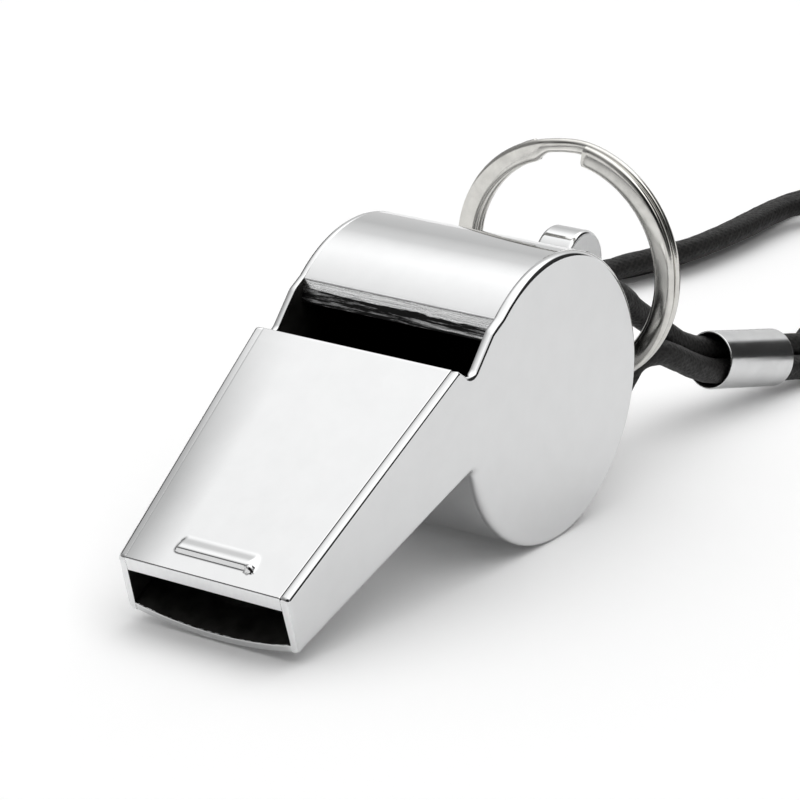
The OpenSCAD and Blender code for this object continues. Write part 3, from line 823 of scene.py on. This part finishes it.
class WHISTLE_OT_side_plates(bpy.types.Operator):
    """Cut both side plates, round their edges and bend their mouth ends inward"""

    bl_idname = "whistle.side_plates"
    bl_label = "Side Plates"

    ARC_STEPS = 118
    CHIN = slice(5, 10)  # the chin's points in the outline, whose roundings meet in one point
    CHIN_REACH = 0.92  # share of the way that the chin's roundings go to that point
    ARC_AFTER_NOTCH, ARC_END = math.radians(1.5), math.radians(126)
    SHOULDER_START = ((math.radians(131.5), 0.00002), (math.radians(135), 0.00022))
    # Radii of the outline's corners
    FRONT_RADIUS, CHIN_RADIUS, NOTCH_RADIUS = 0.00045, 0.0002, 0.0005
    SHOULDER_RADIUS, VALLEY_RADIUS, BACK_RADIUS = 0.0016, 0.001, 0.0004
    RIGHT_SEAM, LEFT_SEAM = 0.0001, 0.00001  # inner roundings along the roof
    ROUND_STEPS = 8
    STEEPNESS = 1.05  # depth of a rounding over its width
    DEEPEST, CHIN_DEPTH = 0.00068, 0.00066
    LAYER = 0.001  # first distance between two rings of an edge
    FOLD_STEP = 0.0003
    # Distances that tell the hem, the inner face, the seam and the strip along the roof apart
    HEM, INSIDE, SEAM, ROOF_STRIP = 0.00009, 0.0001, 0.0002, 0.0006

    def execute(self, context):
        for name, side in (("side_plate_right", -1), ("side_plate_left", 1)):
            self.make(name, side)
        return {"FINISHED"}

    def outline(self, side):
        """Points round a plate, each with the widths of its outer and its inner rounding."""
        s, lines = body_sizes(), BodyLines()
        radius = s.barrel_radius
        below = lines.notch + toward(s.notch_angle + math.pi / 2, self.NOTCH_RADIUS)
        notch = rounded_corner(lines.notch, lines.chin, below, self.NOTCH_RADIUS)
        first = math.atan2(notch[-1].y, notch[-1].x) % math.tau + self.ARC_AFTER_NOTCH
        last = math.tau + self.ARC_END
        arc = [toward(first + (last - first) * i / self.ARC_STEPS, radius)
               for i in range(self.ARC_STEPS + 1)]
        shoulder = [toward(turn, radius + lift) for turn, lift in self.SHOULDER_START]
        shoulder += rounded_corner(
            lines.shoulder, arc[-1], lines.valley, self.SHOULDER_RADIUS, 5)
        seam = self.RIGHT_SEAM if side < 0 else self.LEFT_SEAM
        # Points, the outer rounding's width at the first and the last, and the inner one's
        runs = (
            (rounded_corner(lines.roof_front, lines.roof_back, lines.chin, self.FRONT_RADIUS, 4),
             0.00042, 0.00034, 0.00001),
            (rounded_corner(lines.chin, lines.roof_front, notch[0], self.CHIN_RADIUS, 4),
             0.00034, 0.0009, 0.00001),
            (notch, 0.0006, 0.0006, 0.00004),
            (arc, s.rim_rounding, s.rim_rounding, 0.00001),
            (shoulder, s.rim_rounding, 0.00045, 0.00006),
            (rounded_corner(lines.valley, lines.shoulder, lines.roof_back, self.VALLEY_RADIUS, 9),
             0.00045, 0.0004, 0.00012),
            (rounded_corner(lines.roof_back, lines.valley, lines.roof_front, self.BACK_RADIUS, 5),
             0.00034, 0.00028, seam),
        )
        points, rims, hems = [], [], []
        for run, rim_from, rim_to, hem in runs:
            points += run
            rims += list(np.linspace(rim_from, rim_to, len(run)))
            hems += [hem] * len(run)
        hems[0] = seam
        return np.array([tuple(point) for point in points]), np.array(rims), np.array(hems)

    def rings(self, side):
        """Outline, and the inset and height of each ring from the inner to the outer face."""
        s, lines = body_sizes(), BodyLines()
        points, rims, hems = self.outline(side)
        ahead = np.roll(points, -1, 0) - points
        ahead /= np.linalg.norm(ahead, axis=1)[:, None]
        area = np.sum(points[:, 0] * np.roll(points[:, 1], -1)
                      - np.roll(points[:, 0], -1) * points[:, 1])
        after = np.stack([-ahead[:, 1], ahead[:, 0]], 1) * np.sign(area)
        before = np.roll(after, 1, 0)
        insets = (after + before) / (1 + np.sum(after * before, 1))[:, None] * rims[:, None]
        chin_rims = rims[self.CHIN]
        meet = lines.chin + (lines.under_dir * chin_rims[0] - lines.mouth_dir * chin_rims[-1])
        insets[self.CHIN] = self.CHIN_REACH * (np.array(tuple(meet)) - points[self.CHIN])
        depth = np.minimum(rims * self.STEEPNESS, self.DEEPEST)
        depth[self.CHIN] = self.CHIN_DEPTH
        rounds = np.radians(np.linspace(0, 90, self.ROUND_STEPS))
        hem_way = insets / rims[:, None] * hems[:, None]
        offsets = [hem_way, 0 * hem_way] + [insets * (1 - math.cos(a)) for a in rounds]
        rises = [0 * hems, hems] + [s.side_sheet - depth * (1 - math.sin(a)) for a in rounds]
        return points, np.array(offsets), np.array(rises)

    def make(self, name, side):
        lines = BodyLines()
        points, offsets, rises = self.rings(side)
        piece = add_outline(name + "_dressed", points)
        edit_all(piece)
        for _ in rises[1:]:
            bpy.ops.mesh.extrude_region_move(TRANSFORM_OT_translate={"value": (0, self.LAYER, 0)})
        close_edit()
        places = vertex_places(piece) - (AXIS_X, 0, AXIS_Z)
        ring = np.rint(places[:, 1] / self.LAYER).astype(int)
        spot = np.argmin(((places[:, None, ::2] - points[None]) ** 2).sum(2), axis=1)
        x, z = (points[spot] + offsets[ring, spot]).T
        place_vertices(piece, AXIS_X + x, side * (lines.inner + rises[ring, spot]), AXIS_Z + z)
        point_outward(piece)
        self.bend(piece, side, lines)
        keep_faces_flat(piece)

        def kind(centre, normal):
            deep = abs(centre.y) - lines.half_at(AXIS_X - centre.x)
            spot = in_section(centre) - lines.roof_back
            from_roof = abs(spot.dot(lines.roof_in)) if spot.x < 0 else math.inf
            # Faces along the roof's seam on the right plate take the near-black inside colour: a
            # painted dark line of shade in the joint.
            if side < 0 and deep < self.HEM and from_roof < self.SEAM:
                return INNER
            if normal.y * side < -0.9 and deep < self.INSIDE:
                return INNER
            if side > 0 and from_roof < self.ROOF_STRIP:
                return ROOF_EDGE
            # The mouth's rim faces take the satin plating, whose lighter colour is painted light.
            return RIM if lines.faces_mouth(centre, normal) else OUTER

        finish_piece(piece, "root",
                     [polished_plating, inner_metal_painted_shade, satin_plating_painted_light, pressed_plating],
                     [name], kind)

    def bend(self, piece, side, lines):
        """Bend the mouth's end inward, in three small folds at the crease."""
        folds = [-lines.crease - self.FOLD_STEP * i for i in (-1, 0, 1)]
        edit_all(piece)
        for fold in folds:
            bpy.ops.mesh.select_all(action="SELECT")
            bpy.ops.mesh.bisect(plane_co=(AXIS_X + fold, 0, 0), plane_no=(1, 0, 0))
        close_edit()
        slope = math.tan(body_sizes().taper)
        for vertex in piece.data.vertices:
            reach = AXIS_X - vertex.co.x
            shift = sum(
                max(0.0, min(reach, -after) + fold) * slope * share
                for fold, after, share in zip(folds, folds[1:] + [-1.0], (1 / 3, 2 / 3, 1.0)))
            vertex.co.y -= side * shift


class WHISTLE_OT_barrel_band(bpy.types.Operator):
    """Roll the barrel's band and thicken its lip at the slot"""

    bl_idname = "whistle.barrel_band"
    bl_label = "Barrel Band"

    STEPS = 150
    LIP_BACK = math.radians(4)  # turn over which the lip thins back to the sheet
    LIP_EXTRA = 0.00015  # how much thicker than the sheet it is there
    TUCK = 1.15  # the band stops this many sheets before the notch
    ROUNDING, PLAIN_SHARE = 0.00012, 0.08  # the lip's edge, and the others' share of it
    AT_LIP, ON_LIP, UNDER_SKIN = 0.0002, 0.0012, 0.0002  # distances that tell the faces apart

    def execute(self, context):
        s, lines = body_sizes(), BodyLines()
        outer, inner = s.barrel_radius, s.barrel_radius - s.sheet
        end = s.notch_angle - self.TUCK * s.sheet / s.barrel_radius - math.tau
        lip = toward(s.lip_angle, outer)
        foot = lip + toward(s.lip_angle + s.lip_turn, s.lip_face)
        back, heel = s.lip_angle - self.LIP_BACK, math.atan2(foot.y, foot.x)
        steps = range(self.STEPS + 1)
        outline = [toward(end + (s.lip_angle - end) * i / self.STEPS, outer) for i in steps[:-1]]
        outline += [lip, foot]
        outline += [toward(heel + (back - heel) * i / 6, inner - self.LIP_EXTRA)
                    for i in range(7)]
        outline += [toward(end + (back - end) * i / self.STEPS, inner) for i in reversed(steps)]
        piece = cut_sheet("barrel_band_dressed", outline, -lines.inner, lines.inner)

        def weigh(middle, direction):
            at_lip = (in_section(middle) - lip).length < self.AT_LIP
            return 1.0 if at_lip and abs(direction.y) > 0.9 else self.PLAIN_SHARE

        def kind(centre, normal):
            spot = in_section(centre)
            if normal.x < -0.7 and (spot - (lip + foot) / 2).length < self.ON_LIP:
                return RIM
            return INNER if spot.length < outer - self.UNDER_SKIN else OUTER

        round_edges(piece, self.ROUNDING, weigh)
        finish_piece(piece, "root", [polished_plating, inner_metal_painted_shade, cut_metal],
                     ["barrel_band"], kind)
        return {"FINISHED"}


class WHISTLE_OT_top_plate(bpy.types.Operator):
    """Shape the roof of the mouthpiece with its raised bar for the teeth"""

    bl_idname = "whistle.top_plate"
    bl_label = "Top Plate"

    ALONG, ACROSS = 150, 120
    BAR_ROWS, BAR_MARGIN = 0.6, 0.0014  # share of the grid for the bar, and the room behind it
    FRONT_FLANK, BACK_FLANK, LEFT_FLANK = 0.00048, 0.0015, 0.00045
    BEAD_RADIUS, BEAD_RISE = 0.0005, 1.2  # the bar's right end, its height as a share
    BEAD_ASIDE, BEAD_BACK = 0.0002, 0.00012
    FRONT_EXTRA, FRONT_REACH = 0.0003, 0.0025  # the sheet is thicker inside at the mouth
    SIDE_GAP = 0.05  # gap to the side plates, as a share of a joint
    SKIN = 0.00006  # room that tells the right edge's faces from the others
    ROUNDING, LEFT_SHARE = 0.0001, 0.1  # width of the edges, and the left ones' share of it

    def rise(self, along, across):
        """Height of the tooth bar over the roof."""
        s = body_sizes()
        half_w = s.bar_width / 2
        half_len = s.bar_length / 2 - half_w
        ahead = along - s.bar_inset - half_w * 0.6
        flank = ahead / np.where(ahead < 0, self.FRONT_FLANK, self.BACK_FLANK)
        end = np.maximum(np.abs(across) - half_len, 0)
        end = end / np.where(across > 0, self.LEFT_FLANK, half_w)
        bar = s.bar_height * (0.5 + 0.5 * np.cos(math.pi * np.minimum(np.hypot(flank, end), 1)))
        bead = np.hypot(across + half_len + self.BEAD_ASIDE, ahead + self.BEAD_BACK)
        bead = bead / self.BEAD_RADIUS
        bead = self.BEAD_RISE * s.bar_height * np.cos(math.pi / 2 * np.minimum(bead, 1))
        return np.maximum(bar, bead)

    def execute(self, context):
        s, lines = body_sizes(), BodyLines()
        piece = unit_sheet("top_plate_dressed", self.ALONG, self.ACROSS, True)
        u, v, w = vertex_places(piece).T
        near, share = s.bar_inset + s.bar_width + self.BAR_MARGIN, self.BAR_ROWS
        along = np.where(u < share, u / share * near,
                         near + (u - share) / (1 - share) * (s.roof_length - near))
        across = (v - 0.5) * 2 * np.array([
            lines.half_at(-(lines.roof_front + lines.roof_dir * a).x) - self.SIDE_GAP * s.joint
            for a in along])
        depth = s.sheet + self.FRONT_EXTRA * np.clip(1 - along / self.FRONT_REACH, 0, 1)
        lean = -depth * math.tan(s.mouth_rake) * (1 - along / s.roof_length)
        out = np.where(w > 0.5, self.rise(along, across), -depth)
        along = along + (w < 0.5) * lean
        place_vertices(
            piece,
            AXIS_X + lines.roof_front.x + along * lines.roof_dir.x - out * lines.roof_in.x, across,
            AXIS_Z + lines.roof_front.y + along * lines.roof_dir.y - out * lines.roof_in.y)
        point_outward(piece)

        def inward(direction):
            return direction.x * lines.roof_in.x + direction.z * lines.roof_in.y

        def weigh(middle, direction):
            upright = abs(inward(direction)) > 0.5
            is_left = abs(direction.y) <= 0.9 and (upright or middle.y > 0)
            return self.LEFT_SHARE if is_left else 1.0

        def kind(centre, normal):
            half = lines.half_at(AXIS_X - centre.x) - s.joint
            ahead = normal.x * lines.mouth_dir.y - normal.z * lines.mouth_dir.x
            # Inward faces, and the faces of the roof's right edge, take the near-black inside colour;
            # on the right edge it is a painted dark line of shade along the joint.
            if inward(normal) > 0.8 or (centre.y < self.SKIN - half and ahead < 0.05):
                return INNER
            # The mouth's rim faces take the satin plating, whose lighter colour is painted light.
            return RIM if lines.faces_mouth(centre, normal) else OUTER

        round_edges(piece, self.ROUNDING, weigh)
        finish_piece(piece, "root", [pressed_plating, inner_metal_painted_shade, satin_plating_painted_light],
                     ["top_plate"], kind)
        return {"FINISHED"}


class WHISTLE_OT_mouthpiece_underside(bpy.types.Operator):
    """Shape the bowed underside of the mouthpiece"""

    bl_idname = "whistle.mouthpiece_underside"
    bl_label = "Mouthpiece Underside"

    ALONG, ACROSS, ROLL_ROWS = 72, 40, 12
    ROLLED = 0.0003  # rounding of the front-lower edge
    THINNER, THIN_REACH = 0.00012, 0.002  # the sheet is thinner inside at the mouth
    SIDE_GAP = 0.3  # gap to the side plates, as a share of a joint
    ROUNDING, ROUNDED_REACH = 0.00013, 0.002  # width of the mouth's edges, and their room

    def spot(self, row, side_share, is_outer):
        """Place of one point, by its row from the mouth and its share of the width."""
        s, lines = body_sizes(), BodyLines()
        turn = math.radians(90) * min(row, self.ROLL_ROWS) / self.ROLL_ROWS
        ahead = self.ROLLED * (1 - math.cos(turn))
        share = max(0.0, (row - self.ROLL_ROWS) / (self.ALONG - self.ROLL_ROWS))
        reach = ahead + share * (lines.notch - lines.chin).length
        half = lines.half_at(-(lines.chin + lines.under_dir * reach).x) - self.SIDE_GAP * s.joint
        y = (side_share - 0.5) * 2 * half
        out = s.crown - lines.bow_radius + math.sqrt(lines.bow_radius ** 2 - y * y)
        if not is_outer:
            out -= s.sheet - self.THINNER * max(0.0, 1 - reach / self.THIN_REACH)
        start = out * lines.mouth_dir.dot(lines.under_dir) / lines.mouth_dir.dot(lines.under_out)
        start += ahead
        if is_outer:
            out -= self.ROLLED * (1 - math.sin(turn))
        side = lines.chin + lines.under_out * out
        dot = side.dot(lines.under_dir)
        end = -dot - math.sqrt(max(
            0.0, dot * dot - side.length_squared + (s.barrel_radius + s.joint) ** 2))
        point = side + lines.under_dir * (start + (end - start) * share)
        return AXIS_X + point.x, y, AXIS_Z + point.y

    def execute(self, context):
        lines = BodyLines()
        piece = unit_sheet("mouthpiece_underside_dressed", self.ALONG, self.ACROSS, True)
        place_vertices(piece, [self.spot(round(u * self.ALONG), v, w > 0.5)
                               for u, v, w in vertex_places(piece)])
        point_outward(piece)

        def weigh(middle, direction):
            at_mouth = in_section(middle).x < lines.chin.x + self.ROUNDED_REACH
            return 1.0 if abs(direction.y) > 0.9 and at_mouth else 0.0

        def kind(centre, normal):
            return normal.x * lines.under_out.x + normal.z * lines.under_out.y < -0.8

        round_edges(piece, self.ROUNDING, weigh)
        finish_piece(piece, "root", [polished_plating, inner_metal_painted_shade],
                     ["mouthpiece_underside"], kind)
        return {"FINISHED"}


class WHISTLE_OT_windway_insert(bpy.types.Operator):
    """Finish the bent sheet that makes the windway's floor"""

    bl_idname = "whistle.windway_insert"
    bl_label = "Windway Insert"

    def execute(self, context):
        # The windway's floor takes the near-black inside colour: painted shade.
        dress_node("windway_insert", inner_metal_painted_shade)
        return {"FINISHED"}


class WHISTLE_OT_ring_lug(bpy.types.Operator):
    """Cut the lug with its two eyes and round its edges"""

    bl_idname = "whistle.ring_lug"
    bl_label = "Ring Lug"

    EYE_STEPS, SEAT_STEPS = 28, 12
    NECK = 0.99  # place of the foot's corners, as a share of the eye's radius
    DRILL_LENGTH, DRILL_SIDES = 0.01, 48
    ROUNDING, SEGMENTS = 0.00045, 6
    SEAT_SHARE, HOLE_SHARE, EDGE_NEAR = 0.15, 0.3, 0.0003  # shares of the rounding, and their room

    def execute(self, context):
        s, r = body_sizes(), ring_sizes()
        x = s.barrel_radius + r.lug_stand
        seat = s.barrel_radius + s.joint
        upper = Vector((x, r.eye_rise))
        lower = Vector((x, r.eye_rise - (r.ring_diameter - r.wire_width) / 2))
        turn = math.asin(r.foot / 2 / seat)
        half_rounds = [math.pi * i / self.EYE_STEPS for i in range(self.EYE_STEPS + 1)]
        outline = [toward(turn * (1 - 2 * i / self.SEAT_STEPS), seat)
                   for i in range(self.SEAT_STEPS + 1)]
        outline += [Vector((x - self.NECK * r.lower_radius, -r.foot / 2))]
        outline += [lower + toward(math.pi + a, r.lower_radius) for a in half_rounds]
        outline += [upper + toward(a, r.eye_radius) for a in half_rounds]
        outline += [Vector((x - self.NECK * r.eye_radius, r.foot / 2))]
        half = r.lug_thickness / 2
        piece = cut_sheet("ring_lug_dressed", outline, -half, half)
        for centre, radius in ((upper, r.eye_hole), (lower, r.lower_hole)):
            self.drill(piece, centre, radius)

        def weigh(middle, direction):
            spot = in_section(middle)
            if spot.length < seat + self.EDGE_NEAR:
                return self.SEAT_SHARE
            drilled = min((spot - upper).length - r.eye_hole, (spot - lower).length - r.lower_hole)
            return self.HOLE_SHARE if drilled < self.EDGE_NEAR else 1.0

        round_edges(piece, self.ROUNDING, weigh, self.SEGMENTS)
        # The lug's flat faces take the satin plating, whose lighter colour is painted light.
        finish_piece(piece, "root", [polished_plating, satin_plating_painted_light],
                     ["ring_lug"], lambda centre, normal: abs(normal.y) > 0.8)
        return {"FINISHED"}

    def drill(self, piece, centre, radius):
        """Cut a round hole through the lug."""
        deselect_all()
        bpy.ops.mesh.primitive_cylinder_add(
            vertices=self.DRILL_SIDES, radius=radius, depth=self.DRILL_LENGTH,
            rotation=(math.pi / 2, 0, 0), location=(AXIS_X + centre.x, 0, AXIS_Z + centre.y))
        drill = bpy.context.object
        make_only(piece)
        apply_modifier(piece, "Hole", "BOOLEAN", operation="DIFFERENCE", object=drill)
        bpy.data.objects.remove(drill)


class WHISTLE_OT_split_ring(bpy.types.Operator):
    """Wind the split ring with its step between the coils and its cut ends"""

    bl_idname = "whistle.split_ring"
    bl_label = "Split Ring"

    STEPS, SIDES = 380, 28
    FIRST, LAST = math.radians(10), math.radians(701)
    STEP_FROM, STEP_TURN = math.radians(345), math.radians(25)
    FLATNESS = (0.62, 0.72)  # exponents of the wire's section, along the axis and the radius
    SMOOTH_ANGLE = math.radians(38)
    CUT, CUT_TAPER = 0.011, 0.86  # turn over which a cut end is rounded, and its end's share
    # The wire is slimmer at the step: by this share, between two turns and over their run-ups
    SLIM, SLIM_FROM, SLIM_TO, SLIM_RUNS = 0.36, math.radians(342), math.radians(385), (0.13, 0.2)

    def execute(self, context):
        s, r = body_sizes(), ring_sizes()
        lug_x = AXIS_X + s.barrel_radius + r.lug_stand
        centre_z = AXIS_Z + r.eye_rise
        mean = (r.ring_diameter - r.wire_width) / 2
        piece = unit_sheet("split_ring_dressed", self.STEPS, self.SIDES, False)
        u, v, _ = vertex_places(piece).T
        stop = np.rint(u * self.STEPS)
        turn = self.FIRST + (self.LAST - self.FIRST) * u
        turn = np.where(stop == 1, self.FIRST + self.CUT, turn)
        turn = np.where(stop == self.STEPS - 1, self.LAST - self.CUT, turn)
        done = np.clip((turn - self.STEP_FROM) / self.STEP_TURN, 0, 1)
        shift = (r.coil_thickness + r.seam) * (done * done * (3 - 2 * done) - 0.5)
        section = v * math.tau
        across, radial = (np.sign(wave) * np.abs(wave) ** power for wave, power in zip(
            (np.cos(section), np.sin(section)), self.FLATNESS))
        taper = np.where((stop == 0) | (stop == self.STEPS), self.CUT_TAPER, 1.0)
        slim = self.SLIM * np.clip((turn - self.SLIM_FROM) / self.SLIM_RUNS[0], 0, 1)
        slim *= np.clip((self.SLIM_TO - turn) / self.SLIM_RUNS[1], 0, 1)
        side = shift + across * r.coil_thickness / 2 * taper
        reach = mean + (radial * taper * (1 - slim) + slim) * r.wire_width / 2
        place_vertices(piece, lug_x + side, -reach * np.sin(turn), centre_z + reach * np.cos(turn))
        seal_tube(piece)
        make_only(piece)
        bpy.ops.object.shade_smooth_by_angle(angle=self.SMOOTH_ANGLE)
        finish_piece(piece, "ring", [nickel_wire], ["split_ring"])
        return {"FINISHED"}


class WHISTLE_OT_pea(bpy.types.Operator):
    """Give the cork ball its grain"""

    bl_idname = "whistle.pea"
    bl_label = "Pea"

    def execute(self, context):
        dress_node("pea", cork_grain)
        return {"FINISHED"}


class WHISTLE_OT_ferrule(bpy.types.Operator):
    """Turn the thin ferrule with its rolled ends round both strands"""

    bl_idname = "whistle.ferrule"
    bl_label = "Ferrule"

    MOUTH, BACK = Vector((0.04045, -0.004705, 0.00512)), Vector((0.04903, -0.006187, 0.003248))

    def execute(self, context):
        r = ring_sizes()
        way, middle = self.BACK - self.MOUTH, (self.MOUTH + self.BACK) / 2
        deselect_all()
        bpy.ops.mesh.primitive_cylinder_add(
            vertices=96, radius=r.ferrule_diameter / 2, depth=way.length, end_fill_type="NOTHING")
        piece = named("ferrule_dressed")
        apply_modifier(piece, "Wall", "SOLIDIFY", thickness=r.ferrule_wall, offset=-1.0)
        round_edges(piece, r.ferrule_wall * WALL_ROUNDING)
        turn = way.to_track_quat("Z", "Y")
        for vertex in piece.data.vertices:
            vertex.co = turn @ vertex.co + middle

        def kind(centre, normal):
            spot = centre - middle
            return (spot - way.normalized() * spot.dot(way.normalized())).dot(normal) < 0

        finish_piece(piece, "root", [ferrule_metal, inner_metal_painted_shade], ["ferrule"],
                     kind)
        return {"FINISHED"}


class WHISTLE_OT_coil_ties(bpy.types.Operator):
    """Wrap two flat woven ties round the stored coil"""

    bl_idname = "whistle.coil_ties"
    bl_label = "Coil Ties"

    def execute(self, context):
        s = cord_sizes()
        step = math.tau / STOW_POINTS_A_TURN
        margin = s.diameter / 2 + s.tie_slack
        parts = []
        for share in TIE_TURNS:
            outer = s.stow_radius - s.stow_pitch * share + margin
            inner_turn = math.floor(STOW_TURNS / 2 - share) + share + 1 / STOW_POINTS_A_TURN
            inner_turn = min(inner_turn, STOW_TURNS - inner_turn)
            inner = (s.stow_radius - s.stow_pitch * inner_turn) * math.cos(step) - margin
            parts.append(self.band(inner, outer, math.pi + math.tau * share))
        deselect_all()
        for part in parts:
            part.select_set(True)
        context.view_layer.objects.active = parts[0]
        bpy.ops.object.join()
        piece = named("coil_ties_dressed")
        keep_faces_flat(piece)
        finish_piece(piece, "root", [tie_fabric], ["coil_ties"])
        return {"FINISHED"}

    def band(self, inner, outer, turn):
        """One closed band: a block with a window through it, rounded at its edges."""
        s = cord_sizes()
        t, top = s.tie_thickness, s.stow_pitch + s.diameter + 2 * (s.tie_slack + s.tie_thickness)
        deselect_all()
        bpy.ops.mesh.primitive_cube_add(size=1)
        band = bpy.context.object
        for vertex in band.data.vertices:
            vertex.co = (inner - t if vertex.co.x < 0 else outer + t,
                         vertex.co.y * s.tie_width, 0.0 if vertex.co.z < 0 else top)
        # Only the two ends are picked, in face mode, and opened through the block
        edit_all(band, "FACE")
        close_edit()
        for face in band.data.polygons:
            face.select = abs(face.normal.y) > 0.9
        for edge in band.data.edges:
            edge.select = False
        bpy.ops.object.mode_set(mode="EDIT")
        bpy.ops.mesh.inset(thickness=t, use_even_offset=True)
        bpy.ops.mesh.bridge_edge_loops()
        close_edit()
        point_outward(band)
        round_edges(band, t * WALL_ROUNDING)
        cos, sin = math.cos(turn), math.sin(turn)
        for vertex in band.data.vertices:
            x, y, z = vertex.co
            vertex.co = (STOW_CENTRE[0] + x * cos - y * sin, STOW_CENTRE[1] + x * sin + y * cos, z)
        return band


class WHISTLE_PT_panel(bpy.types.Panel):
    """Whistle pieces in the sidebar"""

    bl_idname = "WHISTLE_PT_panel"
    bl_label = "Pea Whistle"
    bl_space_type = "VIEW_3D"
    bl_region_type = "UI"
    bl_category = "Whistle"

    def draw(self, context):
        for operator in OPERATORS:
            self.layout.operator(operator.bl_idname)
        for name, _ in GROUPS:
            group = getattr(context.scene, name)
            box = self.layout.box()
            box.label(text=group.bl_rna.name)
            for key in group.__annotations__:
                box.prop(group, key)


GROUPS = (
    ("whistle_body", WhistleBodySizes),
    ("whistle_ring", WhistleRingSizes),
    ("whistle_cord", WhistleCordSizes),
    ("whistle_finishes", WhistleFinishes),
    ("whistle_stage", WhistleStage),
)
OPERATORS = (
    WHISTLE_OT_stage,
    WHISTLE_OT_ferrule,
    WHISTLE_OT_coil_ties,
    WHISTLE_OT_neck_cord,
    WHISTLE_OT_side_plates,
    WHISTLE_OT_barrel_band,
    WHISTLE_OT_top_plate,
    WHISTLE_OT_mouthpiece_underside,
    WHISTLE_OT_windway_insert,
    WHISTLE_OT_ring_lug,
    WHISTLE_OT_split_ring,
    WHISTLE_OT_pea,
)


def register():
    for name, group in GROUPS:
        bpy.utils.register_class(group)
        setattr(bpy.types.Scene, name, bpy.props.PointerProperty(type=group))
    for operator in OPERATORS:
        bpy.utils.register_class(operator)
    bpy.utils.register_class(WHISTLE_PT_panel)


def unregister():
    bpy.utils.unregister_class(WHISTLE_PT_panel)
    for operator in reversed(OPERATORS):
        bpy.utils.unregister_class(operator)
    for name, group in reversed(GROUPS):
        delattr(bpy.types.Scene, name)
        bpy.utils.unregister_class(group)


def main():
    register()
    bpy.ops.whistle.stage()
    bpy.ops.whistle.ferrule()
    bpy.ops.whistle.coil_ties()
    bpy.ops.whistle.neck_cord()
    bpy.ops.whistle.side_plates()
    bpy.ops.whistle.barrel_band()
    bpy.ops.whistle.top_plate()
    bpy.ops.whistle.mouthpiece_underside()
    bpy.ops.whistle.windway_insert()
    bpy.ops.whistle.ring_lug()
    bpy.ops.whistle.split_ring()
    bpy.ops.whistle.pea()
    deselect_all()


if __name__ == "__main__":
    main()
